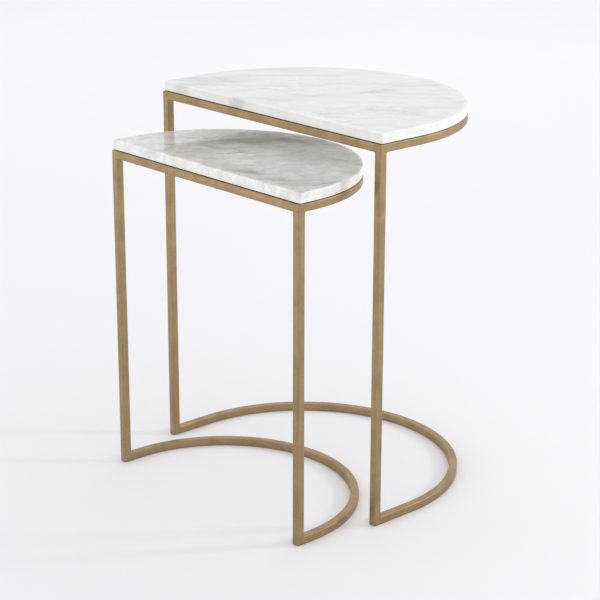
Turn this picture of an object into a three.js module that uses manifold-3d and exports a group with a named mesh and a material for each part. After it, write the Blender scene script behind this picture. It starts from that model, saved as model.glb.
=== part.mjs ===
// A pair of half-moon nesting tables: a brass-finished frame of square tube and a marble slab on each.
// Millimetres, +Z up. -Y is the flat, open side from which the small table is drawn out.
// The origin is on the floor, at the middle of the box around both tables as they stand here.
import * as THREE from "three";
import { mergeVertices } from "three/addons/utils/BufferGeometryUtils.js";
import Module from "manifold-3d";

// Driving dimensions
const LARGE = { name: "large", width: 500, depth: 332, height: 610 };
const SMALL = { name: "small", width: 435, depth: 250, height: 541 };
const PULLED_OUT = 133; // how far the small table's flat side stands in front of the large one's
const ASIDE = 6; // how far the small table stands to the right of the large one's middle

const TUBE = 12.7; // outside of the square tube
const WALL = 1.5;
const TUBE_CORNER = 1.6; // outside corner radius of the tube
const WELD_GAP = 0.3; // root gap between two welded tubes

const SLAB = 15; // marble thickness
const SLAB_EDGE = 1.5; // eased edge, top and bottom
const SLAB_CORNER = 3; // plan radius of the slab's two corners
const SLAB_REVEAL = 0.3; // how far the slab stands back from the bent side of the frame
const FRONT_REVEAL = 2.5; // how far it stands back from the flat side
const PAD = 0.9; // thickness of the rubber pads under the slab
const PAD_RADIUS = 4.5;
const PAD_PLACES_ROUND_BEND = { right: 15, back: 90, left: 165 }; // degrees from the table's right

const BEND_STEPS = 44; // straight pieces along one bent tube
const SLAB_SEGMENTS = 44; // straight pieces along the slab's half circle
const ROUND_SEGMENTS = 2; // straight pieces in a small corner radius
const PAD_SEGMENTS = 16; // straight pieces round a pad

// Materials
const brass = new THREE.MeshStandardMaterial({ color: 0xa48a60, metalness: 0.85, roughness: 0.42 });
const paleMarble = new THREE.MeshStandardMaterial({ color: 0xe9e9e8, roughness: 0.18 });
const greyMarble = new THREE.MeshStandardMaterial({ color: 0xc4c5c2, roughness: 0.18 });
const rubber = new THREE.MeshStandardMaterial({ color: 0x161616, roughness: 0.9 });

const wasm = await Module();
wasm.setup();

// A closed geometry as a manifold-3d solid, for cutting.
function toSolid(geometry) {
  const bare = geometry.index ? geometry.toNonIndexed() : geometry.clone();
  bare.deleteAttribute("normal");
  bare.deleteAttribute("uv");
  const merged = mergeVertices(bare, 1e-4);
  return new wasm.Manifold(
    new wasm.Mesh({
      numProp: 3,
      vertProperties: merged.attributes.position.array,
      triVerts: new Uint32Array(merged.index.array),
    }),
  );
}

// A manifold-3d solid as a geometry again.
function toGeometry(solid) {
  const mesh = solid.getMesh();
  const geometry = new THREE.BufferGeometry();
  geometry.setAttribute("position", new THREE.BufferAttribute(mesh.vertProperties, 3));
  geometry.setIndex(new THREE.BufferAttribute(mesh.triVerts, 1));
  geometry.computeVertexNormals();
  return geometry;
}

// Cuts off all beyond the plane through a point that faces along normal, and half the weld gap before it.
function mitre(geometry, point, normal) {
  const reach = 4 * TUBE;
  const cutter = new THREE.BoxGeometry(reach, reach, reach);
  cutter.translate(0, 0, reach / 2 - WELD_GAP / 2);
  const turn = new THREE.Quaternion().setFromUnitVectors(new THREE.Vector3(0, 0, 1), normal);
  cutter.applyQuaternion(turn);
  cutter.translate(point.x, point.y, point.z);
  return toGeometry(toSolid(geometry).subtract(toSolid(cutter)));
}

// Outside of the square tube's cross-section, centred on its own axis.
function tubeOutline() {
  const half = TUBE / 2;
  const straight = half - TUBE_CORNER;
  const section = new THREE.Shape();
  section.moveTo(straight, -half);
  section.absarc(straight, -straight, TUBE_CORNER, -Math.PI / 2, 0, false);
  section.absarc(straight, straight, TUBE_CORNER, 0, Math.PI / 2, false);
  section.absarc(-straight, straight, TUBE_CORNER, Math.PI / 2, Math.PI, false);
  section.absarc(-straight, -straight, TUBE_CORNER, Math.PI, 1.5 * Math.PI, false);
  return section;
}

// The whole cross-section, with its square bore.
function tubeSection() {
  const inner = TUBE / 2 - WALL;
  const section = tubeOutline();
  const bore = new THREE.Path();
  bore.moveTo(-inner, -inner);
  bore.lineTo(-inner, inner);
  bore.lineTo(inner, inner);
  bore.lineTo(inner, -inner);
  bore.closePath();
  section.holes.push(bore);
  return section;
}

// Centre line of a bent tube: straight back from one end, round a half circle, straight to the other end.
class BendPath extends THREE.Curve {
  constructor(table, start, height) {
    super();
    this.radius = (table.width - TUBE) / 2;
    this.start = start;
    this.straight = table.depth - table.width / 2 - start;
    this.height = height;
    this.arc = Math.PI * this.radius;
    this.total = this.arc + 2 * this.straight;
  }
  getPoint(t, target = new THREE.Vector3()) {
    const along = t * this.total;
    const past = along - this.straight;
    if (past < 0) {
      return target.set(this.radius, this.start + along, this.height);
    }
    if (past > this.arc) {
      return target.set(-this.radius, this.start + this.total - along, this.height);
    }
    const angle = past / this.radius;
    const back = this.start + this.straight + this.radius * Math.sin(angle);
    return target.set(this.radius * Math.cos(angle), back, this.height);
  }
}

// A tube bent to the table's plan shape. Both ends are this far behind the frame's flat outside face.
function bentTube(table, start, height) {
  const path = new BendPath(table, start, height);
  return new THREE.ExtrudeGeometry(tubeSection(), {
    steps: BEND_STEPS,
    curveSegments: ROUND_SEGMENTS,
    extrudePath: path,
  });
}

// A straight piece of some cross-section and length, standing on the XY plane.
function straightPiece(section, length) {
  return new THREE.ExtrudeGeometry(section, {
    depth: length,
    curveSegments: ROUND_SEGMENTS,
    bevelEnabled: false,
  });
}

// The rail along the flat side, mitred at both ends to meet the bent rail.
function frontRail(table, height) {
  const half = table.width / 2;
  let geometry = straightPiece(tubeSection(), table.width);
  geometry.rotateY(Math.PI / 2);
  geometry.translate(-half, TUBE / 2, height);
  for (const side of [-1, 1]) {
    const corner = new THREE.Vector3(side * half, 0, height);
    geometry = mitre(geometry, corner, new THREE.Vector3(side, 1, 0).normalize());
  }
  return geometry;
}

// The bent rail behind it, with the other half of each mitre.
function curvedRail(table, height) {
  let geometry = bentTube(table, 0, height);
  for (const side of [-1, 1]) {
    const corner = new THREE.Vector3(side * (table.width / 2), 0, height);
    geometry = mitre(geometry, corner, new THREE.Vector3(-side, -1, 0).normalize());
  }
  return geometry;
}

// A leg from the floor to the underside of the top ring. Its foot is closed; its top is open to the ring.
function leg(table, side) {
  const top = railHeight(table) - TUBE / 2 - WELD_GAP;
  const boreSide = TUBE - 2 * WALL;
  const bore = new THREE.BoxGeometry(boreSide, boreSide, top);
  bore.translate(0, 0, top / 2 + WALL);
  const outside = toSolid(straightPiece(tubeOutline(), top));
  const geometry = toGeometry(outside.subtract(toSolid(bore)));
  geometry.translate(side * (table.width - TUBE) / 2, TUBE / 2, 0);
  return geometry;
}

// The bent base on the floor, its ends butted to the backs of both legs.
function baseArc(table) {
  return bentTube(table, TUBE + WELD_GAP, TUBE / 2);
}

// Height of the top ring's centre line.
function railHeight(table) {
  return table.height - SLAB - PAD - TUBE / 2;
}

// Points along a part of a circle, in plan.
function arcPoints(x, y, radius, from, to, segments) {
  const points = [];
  for (let i = 0; i <= segments; i += 1) {
    const angle = from + ((to - from) * i) / segments;
    points.push(new THREE.Vector2(x + radius * Math.cos(angle), y + radius * Math.sin(angle)));
  }
  return points;
}

// The half-moon slab: a straight front with two small corner radii, short sides and a half circle.
function slab(table) {
  const half = table.width / 2 - SLAB_REVEAL;
  const straight = table.depth - table.width / 2;
  const corner = SLAB_CORNER;
  const cornerX = half - corner;
  const cornerY = FRONT_REVEAL + corner;
  const outline = new THREE.Shape([
    ...arcPoints(cornerX, cornerY, corner, -Math.PI / 2, 0, ROUND_SEGMENTS),
    ...arcPoints(0, straight, half, 0, Math.PI, SLAB_SEGMENTS),
    ...arcPoints(-cornerX, cornerY, corner, Math.PI, 1.5 * Math.PI, ROUND_SEGMENTS),
  ]);
  const geometry = new THREE.ExtrudeGeometry(outline, {
    depth: SLAB - 2 * SLAB_EDGE,
    bevelEnabled: true,
    bevelThickness: SLAB_EDGE,
    bevelSize: SLAB_EDGE,
    bevelOffset: -SLAB_EDGE,
    bevelSegments: ROUND_SEGMENTS,
  });
  geometry.translate(0, 0, table.height - SLAB + SLAB_EDGE);
  return geometry;
}

// Places of the rubber pads on the top ring: both corners, the middle of the front, and round the bend.
function padPlaces(table) {
  const middle = TUBE / 2;
  const radius = (table.width - TUBE) / 2;
  const straight = table.depth - table.width / 2;
  const places = [
    ["front_left", -radius + TUBE, middle],
    ["front_middle", 0, middle],
    ["front_right", radius - TUBE, middle],
  ];
  for (const [label, degrees] of Object.entries(PAD_PLACES_ROUND_BEND)) {
    const angle = THREE.MathUtils.degToRad(degrees);
    places.push([label, radius * Math.cos(angle), straight + radius * Math.sin(angle)]);
  }
  return places;
}

function pad(table, x, y) {
  const geometry = new THREE.CylinderGeometry(PAD_RADIUS, PAD_RADIUS, PAD, PAD_SEGMENTS);
  geometry.rotateX(Math.PI / 2);
  geometry.translate(x, y, table.height - SLAB - PAD / 2);
  return geometry;
}

function nestingTable(table, marble) {
  const group = new THREE.Group();
  const add = (label, geometry, material) => {
    const mesh = new THREE.Mesh(geometry, material);
    mesh.name = `${table.name}_${label}`;
    group.add(mesh);
  };
  add("marble_slab", slab(table), marble);
  add("front_rail", frontRail(table, railHeight(table)), brass);
  add("curved_rail", curvedRail(table, railHeight(table)), brass);
  add("left_leg", leg(table, -1), brass);
  add("right_leg", leg(table, 1), brass);
  add("base_arc", baseArc(table), brass);
  for (const [label, x, y] of padPlaces(table)) {
    add(`pad_${label}`, pad(table, x, y), rubber);
  }
  return group;
}

const tables = new THREE.Group();
const large = nestingTable(LARGE, paleMarble);
const small = nestingTable(SMALL, greyMarble);
large.position.y = (PULLED_OUT - LARGE.depth) / 2;
small.position.set(ASIDE, large.position.y - PULLED_OUT, 0);
tables.add(large, small);

export default tables;
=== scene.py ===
import math

import bmesh
import bpy
from bpy.props import FloatProperty, FloatVectorProperty, IntProperty, PointerProperty
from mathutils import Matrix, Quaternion, Vector


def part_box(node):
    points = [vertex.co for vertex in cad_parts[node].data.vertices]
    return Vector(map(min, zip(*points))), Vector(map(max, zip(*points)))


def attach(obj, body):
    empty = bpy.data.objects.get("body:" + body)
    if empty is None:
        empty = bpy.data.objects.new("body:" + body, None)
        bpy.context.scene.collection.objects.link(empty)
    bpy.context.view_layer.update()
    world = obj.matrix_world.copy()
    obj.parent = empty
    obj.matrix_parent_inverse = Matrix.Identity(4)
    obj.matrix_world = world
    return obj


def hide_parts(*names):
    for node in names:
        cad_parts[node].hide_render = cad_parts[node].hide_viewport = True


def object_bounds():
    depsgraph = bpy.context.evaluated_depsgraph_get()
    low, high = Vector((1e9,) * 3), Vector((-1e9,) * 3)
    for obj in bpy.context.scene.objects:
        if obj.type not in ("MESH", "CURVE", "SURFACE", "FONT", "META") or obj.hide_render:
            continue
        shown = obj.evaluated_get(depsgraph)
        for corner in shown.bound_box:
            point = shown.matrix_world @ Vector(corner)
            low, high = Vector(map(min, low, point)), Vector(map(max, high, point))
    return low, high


bl_info = {
    "name": "Half-Moon Nesting Tables",
    "version": (1, 0, 0),
    "blender": (4, 5, 0),
    "location": "View3D > Sidebar > Nesting Tables",
    "description": "Two marble-topped half-moon tables on welded brass-finished tube frames",
    "category": "Add Mesh",
}

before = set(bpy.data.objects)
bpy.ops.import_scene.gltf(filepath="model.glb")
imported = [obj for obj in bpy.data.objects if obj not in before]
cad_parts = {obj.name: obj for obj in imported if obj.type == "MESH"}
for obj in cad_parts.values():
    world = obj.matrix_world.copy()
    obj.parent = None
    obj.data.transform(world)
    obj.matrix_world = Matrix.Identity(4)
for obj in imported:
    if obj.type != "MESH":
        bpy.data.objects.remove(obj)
CAD_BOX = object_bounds()

TABLES = ("large", "small")
TUBE_NODES = ("front_rail", "curved_rail", "left_leg", "right_leg", "base_arc")
PAD_PLACES = ("front_left", "front_middle", "front_right", "right", "back", "left")
MARBLE_SLOTS = {"large": "pale_marble", "small": "grey_marble"}

MM = 0.001

# How finely each shape is divided
FILLET_SEGMENTS = 4
TUBE_CORNER_SEGMENTS = 3
SLAB_BEND_STEPS = 160
SLAB_CORNER_STEPS = 6
SLAB_EDGE_STEPS = 5
PAD_STEPS = 32
FLOOR_STEPS = 96

SHARP_ANGLE = math.radians(60.0)  # edges bent by more than this get rounded or filled
MERGE_DISTANCE = 0.001 * MM

# How much of the sawn edge's look the slab has, which is its paler honed colour plus a painted glow of light
# passing through the marble's edge: all of it round the edge, then fading over the top, as (distance in from
# the edge, share left)
WHOLE_RIM = 1.0
RIM_FADE = ((2.4 * MM, 0.72), (5.0 * MM, 0.28), (9.0 * MM, 0.0))

# Half outline of a pad from its underside up: (share of its radius, share of half its thickness)
PAD_PROFILE = ((0.90, -1.0), (0.97, -0.8), (1.0, -0.35), (1.0, 0.35), (0.97, 0.8), (0.90, 1.0))

# Marble
GRAIN_TURN = math.radians(-47.0)  # direction of the long streaks, from the flat side
PATTERN_PUSH = 0.09  # metres by which noise pushes the pattern about
VEIN_LEVEL = 0.5  # veins lie where their noise passes through this level
VEIN_SHADE = 0.6  # a vein's colour is this much of the streaks' colour
CRACK_LEVEL = 0.52  # hairline cracks lie where theirs passes through this one
CRACK_WIDTH = 0.022
CRACK_SCALE = (3.0, 15.0, 9.0)
RIM_UNEVENNESS = 0.32  # how far mottling moves the limit of the sawn edge's paler colour and painted glow
MARBLE_IOR = 1.5

# Scales are along the grain, across it and down, in noise cells per metre.
# A patch is x from the middle, y from the flat side, half its length and half its width in mm,
# then its turn in degrees and its strength.
LARGE_MARBLE = {
    "shift": (0.0, 0.0, 0.0),
    "streak_scale": (6.0, 34.0, 20.0), "streak_strength": 0.32,
    "cloud_scale": (3.0, 11.0, 8.0), "cloud_strength": 0.16,
    "vein_scale": (5.0, 22.0, 12.0), "vein_width": 0.014, "vein_strength": 0.34,
    "mottle": 0.07,
    "dark_patches": (
        (-205, 85, 190, 64, 80, 0.34), (-180, 40, 90, 46, 75, 0.30), (-25, 60, 110, 46, 80, 0.26),
        (22, 152, 130, 22, 67, 0.24), (45, 205, 34, 18, 60, 0.34), (30, 275, 90, 46, 80, 0.25),
        (62, 300, 50, 22, 0, 0.36), (128, 105, 46, 14, -20, 0.42), (155, 18, 28, 14, 60, 0.45),
        (120, 20, 26, 10, 60, 0.32), (183, 120, 34, 16, 70, 0.38), (170, 235, 60, 16, 60, 0.24),
        (-62, 3, 44, 14, 20, 0.62), (-215, 4, 30, 12, 20, 0.22), (30, 3, 26, 10, 40, 0.20)),
    "light_patches": ((85, 190, 190, 60, 75, 0.35), (200, 60, 120, 90, 60, 0.30), (90, 0, 190, 20, 0, 0.60)),
    "rust_patches": ((140, 6, 60, 22, 10, 0.60), (-120, 8, 40, 18, 10, 0.35)),
}
SMALL_MARBLE = {
    "shift": (0.35, 0.10, 0.0),
    "streak_scale": (7.0, 30.0, 20.0), "streak_strength": 0.27,
    "cloud_scale": (3.4, 12.0, 8.0), "cloud_strength": 0.16,
    "vein_scale": (5.0, 20.0, 12.0), "vein_width": 0.018, "vein_strength": 0.38,
    "mottle": 0.20,
    "dark_patches": (
        (8, 216, 84, 28, 20, 0.24), (-42, 202, 60, 26, 15, 0.28), (-48, 180, 46, 16, 30, 0.20),
        (-64, 146, 60, 24, 30, 0.30), (-98, 105, 76, 30, 80, 0.26), (-85, 78, 46, 16, 20, 0.20),
        (70, 22, 48, 16, 35, 0.72), (-20, 104, 30, 11, 15, 0.42), (208, 90, 46, 24, 60, 0.30),
        (140, 24, 60, 22, 30, 0.16), (60, 160, 90, 30, 30, 0.06), (-120, 3, 40, 12, 30, 0.35),
        (110, 2, 30, 10, 30, 0.15)),
    "light_patches": (
        (-165, 110, 150, 110, 70, 0.10), (20, 120, 60, 40, 47, 0.12), (160, 0, 120, 24, 0, 0.50)),
    "rust_patches": ((-15, 25, 80, 46, 20, 0.16), (210, 45, 60, 34, 60, 0.18)),
}

# Rubber
RUBBER_BLACK = (0.012, 0.012, 0.012)
RUBBER_GREY = (0.03, 0.03, 0.03)

# Stage
FLOOR_RADIUS = 30.0
FLOOR_GAP = 0.2 * MM
CLOTH_SHADE = 0.98
ROOM_WHITE = (0.985, 0.985, 1.0, 1.0)
FRONT_BOX = {
    "size": 0.7, "place": (-1.45, -1.85, 0.5), "direction": (1.45, 1.75, -0.15), "tint": (1.0, 0.96, 0.88)}
SIDE_BOX = {
    "size": 0.25, "place": (1.48, 1.66, 0.93), "direction": (-1.38, -1.68, -0.5), "tint": (1.0, 1.0, 1.0)}
BACK_BOX = {
    "size": 2.5, "place": (-2.2, 2.6, 3.0), "direction": (-0.2, 0.3, -1.0), "tint": (1.0, 1.0, 1.0)}
SENSOR_WIDTH = 36.0  # millimetres


# ---------------------------------------------------------------------------
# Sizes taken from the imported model
# ---------------------------------------------------------------------------

class TableSizes:
    """Outer sizes of one table, read from its solids. Frames and slabs are made about x = 0, then moved."""

    def __init__(self, table):
        leg_low, leg_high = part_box(f"{table}_right_leg")
        arc_low, arc_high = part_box(f"{table}_base_arc")
        rail_low, rail_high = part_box(f"{table}_curved_rail")
        slab_low, slab_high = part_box(f"{table}_marble_slab")
        self.tube = leg_high.y - leg_low.y
        self.middle = (arc_low.x + arc_high.x) / 2
        self.half_width = (arc_high.x - arc_low.x) / 2
        self.front = leg_low.y
        self.bend_centre = arc_high.y - self.half_width
        self.floor = leg_low.z
        self.ring_bottom = rail_low.z
        self.ring_top = rail_high.z
        self.slab_bottom = slab_low.z
        self.slab_top = slab_high.z
        self.slab_front = slab_low.y
        self.slab_half_width = (slab_high.x - slab_low.x) / 2
        self.slab_bend_centre = slab_high.y - self.slab_half_width


SIZES = {table: TableSizes(table) for table in TABLES}


# ---------------------------------------------------------------------------
# Settings
# ---------------------------------------------------------------------------

class FrameSettings(bpy.types.PropertyGroup):
    tube_corner: FloatProperty(
        name="Tube corner radius", description="Rounding along the four edges of the square tube",
        default=1.6 * MM, min=0.2 * MM, max=4 * MM, unit="LENGTH")
    weld_fillet: FloatProperty(
        name="Weld fillet", description="Radius of the dressed weld in each inside corner",
        default=2.8 * MM, min=0.5 * MM, max=6 * MM, unit="LENGTH")
    bend_steps: IntProperty(
        name="Bend steps", description="Straight pieces round each bent tube", default=112, min=24, max=256)
    brass: FloatVectorProperty(
        name="Brass", description="Colour of the satin brass finish",
        default=(0.395, 0.282, 0.149), subtype="COLOR", min=0, max=1)
    patina: FloatVectorProperty(
        name="Patina", description="Colour of the darker, browner cloudy patches",
        default=(0.350, 0.245, 0.133), subtype="COLOR", min=0, max=1)
    roughness: FloatProperty(
        name="Roughness", description="How blurred the finish's reflections are",
        default=0.45, min=0.05, max=1)


class SlabSettings(bpy.types.PropertyGroup):
    edge_radius: FloatProperty(
        name="Edge radius", description="Rounding of the slab's top edge",
        default=1.5 * MM, min=0.2 * MM, max=2.4 * MM, unit="LENGTH")
    lower_edge_radius: FloatProperty(
        name="Lower edge radius", description="Rounding of the slab's bottom edge",
        default=0.5 * MM, min=0.2 * MM, max=2.4 * MM, unit="LENGTH")
    corner_radius: FloatProperty(
        name="Corner radius", description="Plan radius of the slab's two front corners",
        default=3 * MM, min=2.5 * MM, max=20 * MM, unit="LENGTH")
    large_white: FloatVectorProperty(
        name="Large white", description="Ground colour of the large slab",
        default=(0.865, 0.865, 0.855), subtype="COLOR", min=0, max=1)
    large_vein: FloatVectorProperty(
        name="Large vein", description="Colour of the large slab's soft streaks",
        default=(0.50, 0.51, 0.51), subtype="COLOR", min=0, max=1)
    small_white: FloatVectorProperty(
        name="Small white", description="Ground colour of the small slab",
        default=(0.76, 0.765, 0.75), subtype="COLOR", min=0, max=1)
    small_vein: FloatVectorProperty(
        name="Small vein", description="Colour of the small slab's cloudy veins",
        default=(0.205, 0.24, 0.21), subtype="COLOR", min=0, max=1)
    # Painted light: the edge's paler honed colour together with a painted glow of light passing through the
    # marble's edge
    edge_glow_white: FloatVectorProperty(
        name="Edge white", description="Colour of the light, slightly green sawn edge",
        default=(0.91, 0.92, 0.875), subtype="COLOR", min=0, max=1)
    rust: FloatVectorProperty(
        name="Rust hairline", description="Colour of the faint warm hairline cracks",
        default=(0.62, 0.47, 0.30), subtype="COLOR", min=0, max=1)


class StageSettings(bpy.types.PropertyGroup):
    floor: FloatVectorProperty(
        name="Floor", description="Colour of the pale floor",
        default=(0.90, 0.90, 0.92), subtype="COLOR", min=0, max=1)
    room_strength: FloatProperty(
        name="Room light", description="Brightness of the pale room around the tables",
        default=0.935, min=0, max=5)
    front_power: FloatProperty(
        name="Front box", description="Power of the warm soft box on the left, before the flat side",
        default=3.3, min=0, max=100)
    side_power: FloatProperty(
        name="Side box", description="Power of the small soft box on the right, behind the tables",
        default=11.0, min=0, max=100)
    back_power: FloatProperty(
        name="Back box", description="Power of the wide soft box over the floor behind",
        default=18.0, min=0, max=500)
    camera_turn: FloatProperty(
        name="Camera turn", description="Camera direction round the tables, from the flat side",
        default=math.radians(47.82), subtype="ANGLE")
    camera_rise: FloatProperty(
        name="Camera rise", description="Camera height angle above the horizon",
        default=math.radians(18.25), subtype="ANGLE")
    camera_roll: FloatProperty(
        name="Camera roll", description="Turn of the camera about its own axis",
        default=math.radians(0.15), subtype="ANGLE")
    camera_distance: FloatProperty(
        name="Camera distance", description="Distance from the camera to the point it looks at",
        default=2.852, unit="LENGTH")
    camera_aim: FloatVectorProperty(
        name="Camera aim", description="Point that the camera looks at",
        default=(0.080, -0.0996, 0.321), subtype="XYZ", unit="LENGTH")
    lens: FloatProperty(
        name="Lens", description="Focal length of the camera in millimetres", default=111.95)


# ---------------------------------------------------------------------------
# Mesh helpers
# ---------------------------------------------------------------------------

def new_piece(name, mesh, body, material, nodes):
    """Puts a mesh in the scene as a piece that rides on a body and stands for some solids."""
    piece = bpy.data.objects.new(name, mesh)
    bpy.context.scene.collection.objects.link(piece)
    mesh.materials.append(material)
    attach(piece, body)
    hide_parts(*nodes)
    return piece


def mesh_from_bmesh(name, bm, middle=0.0):
    """Makes a mesh, moved sideways from x = 0 to the middle of its table."""
    bmesh.ops.translate(bm, verts=bm.verts, vec=(middle, 0.0, 0.0))
    mesh = bpy.data.meshes.new(name)
    bm.to_mesh(mesh)
    bm.free()
    return mesh


def loft(bm, rings):
    """Quads between closed rings of vertices, which all have the same number of vertices."""
    for low, high in zip(rings, rings[1:]):
        for i, corner in enumerate(low):
            j = (i + 1) % len(low)
            bm.faces.new((corner, low[j], high[j], high[i]))


def close_solid(bm, rings):
    """Joins rings that lie one above the other, closes both ends and merges the corners that coincide."""
    loft(bm, rings)
    bm.faces.new(reversed(rings[0]))
    bm.faces.new(rings[-1])
    bmesh.ops.remove_doubles(bm, verts=bm.verts, dist=MERGE_DISTANCE)
    bmesh.ops.recalc_face_normals(bm, faces=bm.faces)


def shade_smooth(piece):
    """Shades rounded edges smoothly and keeps the large faces flat."""
    for face in piece.data.polygons:
        face.use_smooth = True
    piece.modifiers.new("Flat faces", "WEIGHTED_NORMAL").keep_sharp = True


def arc_points(centre_x, centre_y, radius, start, end, steps):
    """Points along a part of a circle in plan, both ends among them."""
    points = []
    for i in range(steps + 1):
        angle = start + (end - start) * i / steps
        points.append((centre_x + radius * math.cos(angle), centre_y + radius * math.sin(angle)))
    return points


# ---------------------------------------------------------------------------
# Material helpers
# ---------------------------------------------------------------------------

class Shader:
    """Short names for making and linking the nodes of one material."""

    # Places of a colour Mix node's sockets, which share their names with those of its other data types
    MIX_FACTOR, MIX_FIRST, MIX_SECOND = 0, 6, 7
    MIX_RESULT = 2

    def __init__(self, name):
        self.material = bpy.data.materials.new(name)
        self.material.use_nodes = True
        self.tree = self.material.node_tree
        self.surface = self.tree.nodes["Principled BSDF"]

    def set_input(self, socket, value):
        """Links a node's output to a socket, or sets a plain value on it."""
        if isinstance(value, bpy.types.NodeSocket):
            self.tree.links.new(value, socket)
        else:
            socket.default_value = value

    def connect(self, socket, value):
        """Sets or links one input of the surface."""
        self.set_input(self.surface.inputs[socket], value)

    def node(self, kind, inputs=None, **options):
        """Makes a node with some options, and sets or links its inputs."""
        made = self.tree.nodes.new(kind)
        for key, value in options.items():
            setattr(made, key, value)
        for key, value in (inputs or {}).items():
            self.set_input(made.inputs[key], value)
        return made

    def place(self):
        """Position on the piece in metres."""
        return self.node("ShaderNodeTexCoord").outputs["Object"]

    def vector_math(self, operation, *inputs):
        made = self.node("ShaderNodeVectorMath", dict(enumerate(inputs)), operation=operation)
        return made.outputs["Vector"]

    def calculate(self, operation, first, second=0.0):
        return self.node("ShaderNodeMath", {0: first, 1: second}, operation=operation).outputs["Value"]

    def noise(self, vector, scale=1.0, detail=4.0, roughness=0.5, distortion=0.0):
        return self.node("ShaderNodeTexNoise", {
            "Vector": vector, "Scale": scale, "Detail": detail,
            "Roughness": roughness, "Distortion": distortion}).outputs["Fac"]

    def stretch(self, vector, scale, turn=0.0, shift=(0.0, 0.0, 0.0)):
        """Turns a coordinate about Z, then scales it, so that a pattern is drawn out along one direction."""
        turned = self.node("ShaderNodeMapping", {
            "Vector": vector, "Location": shift, "Rotation": (0.0, 0.0, turn)}).outputs["Vector"]
        return self.vector_math("MULTIPLY", turned, scale)

    def ramp(self, value, low, high, to_low=0.0, to_high=1.0):
        """Eases a value's range from low to high into another range, and holds it beyond both ends."""
        return self.node("ShaderNodeMapRange", {
            "Value": value, "From Min": low, "From Max": high,
            "To Min": to_low, "To Max": to_high}, interpolation_type="SMOOTHSTEP").outputs["Result"]

    def line(self, noise, level, width, strength=1.0):
        """Thin lines where a noise passes through a level, fading out on both sides."""
        distance = self.calculate("ABSOLUTE", self.calculate("SUBTRACT", noise, level))
        return self.ramp(distance, low=0.0, high=width, to_low=strength, to_high=0.0)

    def patches(self, place, patches):
        """Soft ellipses, added up. Each fades from its strength in its middle to nothing at its outline."""
        total = 0.0
        for x, y, half_length, half_width, turn, strength in patches:
            local = self.node("ShaderNodeMapping", {
                "Vector": place, "Location": (x * MM, y * MM, 0.0),
                "Rotation": (0.0, 0.0, math.radians(turn)),
                "Scale": (half_length * MM, half_width * MM, 1.0)}, vector_type="TEXTURE").outputs["Vector"]
            reach = self.node("ShaderNodeVectorMath", {0: local}, operation="LENGTH").outputs["Value"]
            patch = self.ramp(reach, low=0.0, high=1.0, to_low=strength, to_high=0.0)
            total = self.calculate("ADD", patch, total)
        return total

    def mix(self, factor, first, second):
        """A colour between two others, each a node's output or three plain values."""
        mixed = self.node("ShaderNodeMix", {self.MIX_FACTOR: factor}, data_type="RGBA")
        for index, colour in ((self.MIX_FIRST, first), (self.MIX_SECOND, second)):
            plain = not isinstance(colour, bpy.types.NodeSocket)
            self.set_input(mixed.inputs[index], (*colour, 1.0) if plain else colour)
        return mixed.outputs[self.MIX_RESULT]

    def brighten(self, colour, factor):
        """Multiplies a colour by a factor that varies over the surface."""
        return self.node(
            "ShaderNodeVectorMath", {0: colour, "Scale": factor}, operation="SCALE").outputs["Vector"]

    def bump(self, height, distance, strength, normal=None):
        """A surface roughened by a height, on top of another bump if one is given."""
        inputs = {"Height": height, "Distance": distance, "Strength": strength}
        if normal is not None:
            inputs["Normal"] = normal
        return self.node("ShaderNodeBump", inputs).outputs["Normal"]


# ---------------------------------------------------------------------------
# Materials
# ---------------------------------------------------------------------------

def brass_material(settings):
    """Satin antique brass: cloudy patina, fine brushing along each tube, and small pits."""
    shader = Shader("frame_brass_satin")
    place = shader.place()
    along = shader.node("ShaderNodeAttribute", attribute_name="brushing").outputs["Vector"]
    clouds = shader.noise(place, scale=38.0, detail=5.0, roughness=0.62, distortion=0.4)
    specks = shader.noise(place, scale=420.0, detail=3.0, roughness=0.6)
    brushing = shader.noise(shader.stretch(along, scale=(55.0, 2600.0, 2600.0)), detail=3.0, roughness=0.55)
    streaks = shader.noise(shader.stretch(along, scale=(9.0, 420.0, 420.0)), detail=2.0)

    patches = shader.ramp(clouds, low=0.35, high=0.70)
    streak_shade = shader.ramp(streaks, low=0.25, high=0.75, to_low=0.90, to_high=1.09)
    speck_shade = shader.ramp(specks, low=0.30, high=0.70, to_low=0.93, to_high=1.06)
    toned = shader.mix(patches, settings.brass, settings.patina)
    shade = shader.calculate("MULTIPLY", streak_shade, speck_shade)
    shader.connect("Base Color", shader.brighten(toned, shade))
    shader.connect("Metallic", 1.0)

    rough = settings.roughness
    brushed = shader.ramp(brushing, low=0.3, high=0.7, to_low=rough - 0.05, to_high=rough + 0.06)
    patchy = shader.ramp(patches, low=0.0, high=1.0, to_low=-0.02, to_high=0.07)
    shader.connect("Roughness", shader.calculate("ADD", brushed, patchy))

    pits = shader.bump(specks, distance=0.12 * MM, strength=0.35)
    shader.connect("Normal", shader.bump(brushing, distance=0.05 * MM, strength=0.5, normal=pits))
    return shader.material


def marble_places(shader, sizes):
    """Position from the middle of the slab's flat side and its top, and the same pushed about by noise."""
    corner = (sizes.middle, sizes.slab_front, sizes.slab_top)
    place = shader.vector_math("SUBTRACT", shader.place(), corner)
    warp = shader.node("ShaderNodeTexNoise", {
        "Vector": place, "Scale": 7.0, "Detail": 5.0, "Roughness": 0.6}).outputs["Color"]
    centred = shader.vector_math("SUBTRACT", warp, (0.5, 0.5, 0.5))
    bent = shader.vector_math("MULTIPLY_ADD", centred, (PATTERN_PUSH, PATTERN_PUSH, PATTERN_PUSH), place)
    return place, bent


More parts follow.
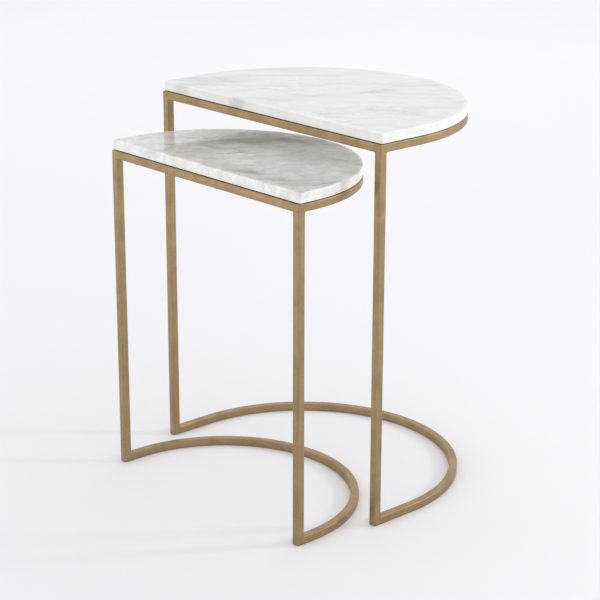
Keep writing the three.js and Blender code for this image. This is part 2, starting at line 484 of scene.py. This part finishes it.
def marble_material(table, ground, vein, settings, recipe):
    """Polished marble: soft streaks, cloudy patches, fine veins, warm hairlines and a sawn edge painted
    lighter, partly its paler honed colour and partly painted light shining through the marble.
    """
    shader = Shader(f"{MARBLE_SLOTS[table]}_polished")
    place, bent = marble_places(shader, SIZES[table])

    def grained(scale, detail, roughness):
        """Noise drawn out along the grain."""
        stretched = shader.stretch(bent, scale, GRAIN_TURN, recipe["shift"])
        return shader.noise(stretched, detail=detail, roughness=roughness)

    streaks = grained(recipe["streak_scale"], detail=7.0, roughness=0.6)
    clouds = grained(recipe["cloud_scale"], detail=6.0, roughness=0.6)
    veins = grained(recipe["vein_scale"], detail=5.0, roughness=0.5)
    mottle = shader.noise(place, scale=48.0, detail=9.0, roughness=0.74, distortion=0.6)

    # Grey: streaks, clouds and the placed dark patches, which the streaks break up
    streak_grey = shader.ramp(streaks, low=0.42, high=0.74, to_high=recipe["streak_strength"])
    cloud_grey = shader.ramp(clouds, low=0.46, high=0.72, to_high=recipe["cloud_strength"])
    broken = shader.ramp(streaks, low=0.30, high=0.62, to_low=0.35, to_high=1.1)
    patch_grey = shader.calculate("MULTIPLY", shader.patches(bent, recipe["dark_patches"]), broken)
    grey = shader.calculate("ADD", shader.calculate("ADD", streak_grey, cloud_grey), patch_grey)
    colour = shader.mix(shader.calculate("MINIMUM", grey, 1.0), ground, vein)

    # Fine veins, which show only where it is cloudy
    vein_line = shader.line(veins, VEIN_LEVEL, recipe["vein_width"], recipe["vein_strength"])
    vein_mask = shader.calculate("MULTIPLY", vein_line, shader.ramp(clouds, low=0.44, high=0.60))
    colour = shader.mix(vein_mask, colour, [VEIN_SHADE * channel for channel in vein])
    colour = shader.mix(shader.patches(bent, recipe["light_patches"]), colour, settings.large_white)

    # Warm hairline cracks
    crack = shader.noise(shader.stretch(bent, CRACK_SCALE, GRAIN_TURN), detail=3.0)
    crack_line = shader.line(crack, CRACK_LEVEL, CRACK_WIDTH)
    crack_mask = shader.calculate("MULTIPLY", crack_line, shader.patches(place, recipe["rust_patches"]))
    colour = shader.mix(crack_mask, colour, settings.rust)

    # Sawn edge painted lighter: its paler honed colour plus a painted glow of light passing through the
    # marble, uneven, and weaker where the marble is grey
    rim = shader.node("ShaderNodeAttribute", attribute_name="rim").outputs["Fac"]
    unevenness = shader.ramp(mottle, low=0.3, high=0.7, to_low=-RIM_UNEVENNESS, to_high=RIM_UNEVENNESS)
    edge = shader.ramp(shader.calculate("ADD", rim, unevenness), low=0.25, high=0.85)
    clear_of_streaks = shader.ramp(streaks, low=0.35, high=0.75, to_low=1.0, to_high=0.72)
    clear_of_patches = shader.ramp(patch_grey, low=0.0, high=0.6, to_low=1.0, to_high=0.35)
    clear = shader.calculate("MULTIPLY", clear_of_streaks, clear_of_patches)
    colour = shader.mix(shader.calculate("MULTIPLY", edge, clear), colour, settings.edge_glow_white)

    depth = recipe["mottle"]
    fleck = shader.ramp(mottle, low=0.30, high=0.70, to_low=1.0 - depth, to_high=1.0 + depth / 2)
    shader.connect("Base Color", shader.brighten(colour, fleck))
    wear = shader.noise(place, scale=60.0)
    shader.connect("Roughness", shader.ramp(wear, low=0.3, high=0.7, to_low=0.10, to_high=0.17))
    shader.connect("IOR", MARBLE_IOR)
    ripple = shader.noise(place, scale=9.0, detail=1.0)
    shader.connect("Normal", shader.bump(ripple, distance=0.4 * MM, strength=0.10))
    return shader.material


def rubber_material():
    """Matte black rubber with a fine moulded grain."""
    shader = Shader("pad_rubber_matte")
    grain = shader.noise(shader.place(), scale=2400.0, detail=2.0)
    shader.connect("Base Color", shader.mix(grain, RUBBER_BLACK, RUBBER_GREY))
    shader.connect("Roughness", shader.ramp(grain, low=0.3, high=0.7, to_low=0.75, to_high=0.9))
    shader.connect("Normal", shader.bump(grain, distance=0.06 * MM, strength=0.4))
    return shader.material


def floor_material(settings):
    """Matte pale cloth with broad, very faint shading."""
    shader = Shader("stage_floor")
    cloth = shader.noise(shader.place(), scale=3.0, detail=2.0)
    shaded = [CLOTH_SHADE * channel for channel in settings.floor]
    shader.connect("Base Color", shader.mix(cloth, shaded, settings.floor))
    shader.connect("Roughness", 0.9)
    shader.connect("Specular IOR Level", 0.1)
    return shader.material


# ---------------------------------------------------------------------------
# Welded frames
# ---------------------------------------------------------------------------

def bend_stations(sizes, steps):
    """Plan positions round the bend, right corner to left: (inner point, outer point)."""
    outer = sizes.half_width
    inner = outer - sizes.tube
    start = sizes.front + sizes.tube
    inner_arc = arc_points(0.0, sizes.bend_centre, inner, 0.0, math.pi, steps)
    outer_arc = arc_points(0.0, sizes.bend_centre, outer, 0.0, math.pi, steps)
    stations = [((inner, start), (outer, start))]
    stations.extend(zip(inner_arc, outer_arc))
    stations.append(((-inner, start), (-outer, start)))
    return stations


def add_bend(bm, sizes, low, high, steps):
    """The square tube round the back, open at both ends."""
    rings = []
    for inner, outer in bend_stations(sizes, steps):
        corners = ((*inner, low), (*outer, low), (*outer, high), (*inner, high))
        rings.append([bm.verts.new(corner) for corner in corners])
    loft(bm, rings)


def add_block(bm, low, high, open_sides):
    """A box without the sides named in open_sides, such as '-x'."""
    verts = {}
    for ix, x in enumerate((low[0], high[0])):
        for iy, y in enumerate((low[1], high[1])):
            for iz, z in enumerate((low[2], high[2])):
                verts[ix, iy, iz] = bm.verts.new((x, y, z))
    for axis, letter in enumerate("xyz"):
        others = [other for other in range(3) if other != axis]
        for end, sign in enumerate("-+"):
            if sign + letter in open_sides:
                continue
            corners = []
            for first, second in ((0, 0), (1, 0), (1, 1), (0, 1)):
                key = [0, 0, 0]
                key[axis], key[others[0]], key[others[1]] = end, first, second
                corners.append(verts[tuple(key)])
            bm.faces.new(corners)


def frame_cage(sizes, steps):
    """The whole welded frame with sharp edges, as one closed surface."""
    bm = bmesh.new()
    tube = sizes.tube
    front, behind = sizes.front, sizes.front + tube
    outer, inner = sizes.half_width, sizes.half_width - tube
    ring_low, ring_high = sizes.ring_bottom, sizes.ring_top
    foot_low, foot_high = sizes.floor, sizes.floor + tube
    add_block(bm, (-inner, front, ring_low), (inner, behind, ring_high), ("-x", "+x"))
    for side, towards_rail in ((-1, "+x"), (1, "-x")):
        left, right = sorted((side * inner, side * outer))
        add_block(bm, (left, front, ring_low), (right, behind, ring_high), (towards_rail, "+y", "-z"))
        add_block(bm, (left, front, foot_high), (right, behind, ring_low), ("-z", "+z"))
        add_block(bm, (left, front, foot_low), (right, behind, foot_high), ("+y", "+z"))
    add_bend(bm, sizes, ring_low, ring_high, steps)
    add_bend(bm, sizes, foot_low, foot_high, steps)
    bmesh.ops.remove_doubles(bm, verts=bm.verts, dist=MERGE_DISTANCE)
    bmesh.ops.recalc_face_normals(bm, faces=bm.faces)
    return bm


def round_edges(bm, radius, segments, convex):
    """Rounds the sharp convex edges, or fills the sharp concave ones with a fillet."""
    chosen = [
        edge for edge in bm.edges
        if edge.is_manifold and edge.calc_face_angle() > SHARP_ANGLE and edge.is_convex == convex]
    bmesh.ops.bevel(
        bm, geom=chosen, offset=radius, segments=segments, profile=0.5, affect="EDGES",
        clamp_overlap=False, loop_slide=True)


def distance_round_bend(sizes, x, past):
    """Distance along the bent tube from the middle of the back. past is how far behind the bend's centre."""
    if past < 0.0:
        return math.copysign(math.pi / 2 * sizes.half_width - past, x)
    return math.atan2(x, past) * sizes.half_width


def brushing_place(sizes, region, point):
    """A point's place in its own tube: first along the tube, then across it both ways."""
    if region == "leg":
        return point.z, point.x, point.y
    if region == "rail":
        return point.x, point.y, point.z
    past = point.y - sizes.bend_centre
    return distance_round_bend(sizes, point.x, past), math.hypot(point.x, max(past, 0.0)), point.z


def tube_region(sizes, centre):
    """Which tube a face belongs to: the front rail, one of the bent tubes, or a leg."""
    behind = sizes.front + sizes.tube
    if centre.z > sizes.ring_bottom:
        return "rail" if centre.y < behind else "bend"
    if centre.z < sizes.floor + sizes.tube and centre.y > behind:
        return "bend"
    return "leg"


def add_brushing(mesh, sizes):
    """Stores each face corner's place in its tube, which the brushed finish follows."""
    middle = Vector((sizes.middle, 0.0, 0.0))
    layer = mesh.attributes.new("brushing", "FLOAT_VECTOR", "CORNER")
    for face in mesh.polygons:
        region = tube_region(sizes, face.center)
        for loop in face.loop_indices:
            point = mesh.vertices[mesh.loops[loop].vertex_index].co
            layer.data[loop].vector = brushing_place(sizes, region, point - middle)


def make_frame(table, settings, material):
    """Front rail, bent rail, legs and base as one welded and dressed frame."""
    sizes = SIZES[table]
    bm = frame_cage(sizes, settings.bend_steps)
    round_edges(bm, settings.weld_fillet, FILLET_SEGMENTS, convex=False)
    round_edges(bm, settings.tube_corner, TUBE_CORNER_SEGMENTS, convex=True)
    name = f"{table}_welded_frame"
    mesh = mesh_from_bmesh(name, bm, sizes.middle)
    add_brushing(mesh, sizes)
    nodes = [f"{table}_{part}" for part in TUBE_NODES]
    shade_smooth(new_piece(name, mesh, f"{table}_table", material, nodes))


# ---------------------------------------------------------------------------
# Marble slabs
# ---------------------------------------------------------------------------

def slab_outline(sizes, corner, inset):
    """Plan outline of the slab, counter-clockwise, pulled in by inset."""
    half = sizes.slab_half_width - inset
    front = sizes.slab_front + inset
    radius = max(corner - inset, 0.0)
    right = arc_points(half - radius, front + radius, radius, -math.pi / 2, 0.0, SLAB_CORNER_STEPS)
    back = arc_points(0.0, sizes.slab_bend_centre, half, 0.0, math.pi, SLAB_BEND_STEPS)
    left = arc_points(radius - half, front + radius, radius, math.pi, 1.5 * math.pi, SLAB_CORNER_STEPS)
    return right + back + left


def slab_levels(sizes, lower, upper):
    """(inset, height, rim) of each outline, from the underside's edge up and over onto the top."""
    angles = [math.pi / 2 * i / SLAB_EDGE_STEPS for i in range(SLAB_EDGE_STEPS + 1)]
    levels = []
    for angle in angles:
        height = sizes.slab_bottom + lower * (1 - math.cos(angle))
        levels.append((lower * (1 - math.sin(angle)), height, WHOLE_RIM))
    for angle in angles:
        height = sizes.slab_top - upper * (1 - math.sin(angle))
        levels.append((upper * (1 - math.cos(angle)), height, WHOLE_RIM))
    for inset, rim in RIM_FADE:
        levels.append((inset, sizes.slab_top, rim))
    return levels


def make_slab(table, settings, material):
    """A half-moon slab with eased edges. Its rim attribute, which masks the painted edge glow, is 1 on the
    sawn edge and 0 on the top.
    """
    sizes = SIZES[table]
    bm = bmesh.new()
    rim_layer = bm.verts.layers.float.new("rim")
    rings = []
    for inset, height, rim in slab_levels(sizes, settings.lower_edge_radius, settings.edge_radius):
        ring = [bm.verts.new((x, y, height)) for x, y in slab_outline(sizes, settings.corner_radius, inset)]
        for vert in ring:
            vert[rim_layer] = rim
        rings.append(ring)
    close_solid(bm, rings)
    name = f"{table}_marble_top"
    mesh = mesh_from_bmesh(name, bm, sizes.middle)
    nodes = [f"{table}_marble_slab"]
    shade_smooth(new_piece(name, mesh, f"{table}_table", material, nodes))


# ---------------------------------------------------------------------------
# Rubber pads
# ---------------------------------------------------------------------------

def make_pad(table, place, material):
    """A small round pad with softly rounded edges, squeezed between the ring and the slab."""
    node = f"{table}_pad_{place}"
    low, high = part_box(node)
    centre = (low + high) / 2
    radius = (high.x - low.x) / 2
    half_thickness = (high.z - low.z) / 2
    bm = bmesh.new()
    rings = []
    for share, height in PAD_PROFILE:
        circle = arc_points(centre.x, centre.y, share * radius, 0.0, math.tau, PAD_STEPS)[:-1]
        z = centre.z + height * half_thickness
        rings.append([bm.verts.new((x, y, z)) for x, y in circle])
    close_solid(bm, rings)
    name = f"{table}_rubber_pad_{place}"
    new_piece(name, mesh_from_bmesh(name, bm), f"{table}_table", material, [node])


# ---------------------------------------------------------------------------
# Stage
# ---------------------------------------------------------------------------

def make_floor(settings):
    """A wide round floor just below the tables' feet."""
    bm = bmesh.new()
    bmesh.ops.create_circle(bm, cap_ends=True, segments=FLOOR_STEPS, radius=FLOOR_RADIUS)
    floor = bpy.data.objects.new("stage_floor", mesh_from_bmesh("stage_floor", bm))
    floor.data.materials.append(floor_material(settings))
    floor.location.z = CAD_BOX[0].z - FLOOR_GAP
    bpy.context.scene.collection.objects.link(floor)


def add_soft_box(name, power, size, place, direction, tint):
    """A square area light at a place, shining along a direction."""
    box = bpy.data.lights.new(name, "AREA")
    box.energy = power
    box.size = size
    box.color = tint
    lamp = bpy.data.objects.new(name, box)
    lamp.location = place
    lamp.rotation_mode = "QUATERNION"
    lamp.rotation_quaternion = Vector(direction).to_track_quat("-Z", "Y")
    bpy.context.scene.collection.objects.link(lamp)


def make_lights(settings):
    """A pale room that lights evenly from all sides, and three soft boxes."""
    world = bpy.data.worlds.new("pale_room")
    world.use_nodes = True
    room = world.node_tree.nodes["Background"]
    room.inputs["Color"].default_value = ROOM_WHITE
    room.inputs["Strength"].default_value = settings.room_strength
    bpy.context.scene.world = world
    add_soft_box("front_box", settings.front_power, **FRONT_BOX)
    add_soft_box("side_box", settings.side_power, **SIDE_BOX)
    add_soft_box("back_box", settings.back_power, **BACK_BOX)


def make_camera(settings):
    """A long lens that looks down on the tables from the right of the flat side."""
    turn, rise = settings.camera_turn, settings.camera_rise
    back = Vector((math.sin(turn) * math.cos(rise), -math.cos(turn) * math.cos(rise), math.sin(rise)))
    data = bpy.data.cameras.new("camera")
    data.lens = settings.lens
    data.sensor_width = SENSOR_WIDTH
    camera = bpy.data.objects.new("camera", data)
    camera.location = Vector(settings.camera_aim) + back * settings.camera_distance
    camera.rotation_mode = "QUATERNION"
    aim = (-back).to_track_quat("-Z", "Y")
    camera.rotation_quaternion = aim @ Quaternion((0.0, 0.0, 1.0), settings.camera_roll)
    bpy.context.scene.collection.objects.link(camera)
    bpy.context.scene.camera = camera


# ---------------------------------------------------------------------------
# Operators and panel
# ---------------------------------------------------------------------------

class NESTING_OT_frames(bpy.types.Operator):
    """Build both welded tube frames"""
    bl_idname = "nesting.frames"
    bl_label = "Welded frames"

    def execute(self, context):
        settings = context.scene.nesting_frame
        material = brass_material(settings)
        for table in TABLES:
            make_frame(table, settings, material)
        return {"FINISHED"}


class NESTING_OT_slabs(bpy.types.Operator):
    """Build both polished marble slabs"""
    bl_idname = "nesting.slabs"
    bl_label = "Marble slabs"

    def execute(self, context):
        settings = context.scene.nesting_slab
        pale = marble_material("large", settings.large_white, settings.large_vein, settings, LARGE_MARBLE)
        grey = marble_material("small", settings.small_white, settings.small_vein, settings, SMALL_MARBLE)
        make_slab("large", settings, pale)
        make_slab("small", settings, grey)
        return {"FINISHED"}


class NESTING_OT_pads(bpy.types.Operator):
    """Build the rubber pads under both slabs"""
    bl_idname = "nesting.pads"
    bl_label = "Rubber pads"

    def execute(self, context):
        material = rubber_material()
        for table in TABLES:
            for place in PAD_PLACES:
                make_pad(table, place, material)
        return {"FINISHED"}


class NESTING_OT_stage(bpy.types.Operator):
    """Set out the floor, the light and the camera"""
    bl_idname = "nesting.stage"
    bl_label = "Stage"

    def execute(self, context):
        settings = context.scene.nesting_stage
        make_floor(settings)
        make_lights(settings)
        make_camera(settings)
        context.scene.view_settings.view_transform = "Standard"
        return {"FINISHED"}


class NESTING_PT_sidebar(bpy.types.Panel):
    """Lists what can be built and its settings"""
    bl_idname = "NESTING_PT_sidebar"
    bl_label = "Nesting Tables"
    bl_space_type = "VIEW_3D"
    bl_region_type = "UI"
    bl_category = "Nesting Tables"

    def draw(self, context):
        for operator in OPERATORS:
            self.layout.operator(operator.bl_idname)
        scene = context.scene
        for settings in (scene.nesting_frame, scene.nesting_slab, scene.nesting_stage):
            box = self.layout.box()
            for name in settings.__annotations__:
                box.prop(settings, name)


OPERATORS = (NESTING_OT_frames, NESTING_OT_slabs, NESTING_OT_pads, NESTING_OT_stage)
CLASSES = (FrameSettings, SlabSettings, StageSettings, *OPERATORS, NESTING_PT_sidebar)


def register():
    for cls in CLASSES:
        bpy.utils.register_class(cls)
    bpy.types.Scene.nesting_frame = PointerProperty(type=FrameSettings)
    bpy.types.Scene.nesting_slab = PointerProperty(type=SlabSettings)
    bpy.types.Scene.nesting_stage = PointerProperty(type=StageSettings)


def unregister():
    del bpy.types.Scene.nesting_stage
    del bpy.types.Scene.nesting_slab
    del bpy.types.Scene.nesting_frame
    for cls in reversed(CLASSES):
        bpy.utils.unregister_class(cls)


def main():
    register()
    bpy.ops.nesting.frames()
    bpy.ops.nesting.slabs()
    bpy.ops.nesting.pads()
    bpy.ops.nesting.stage()


if __name__ == "__main__":
    main()
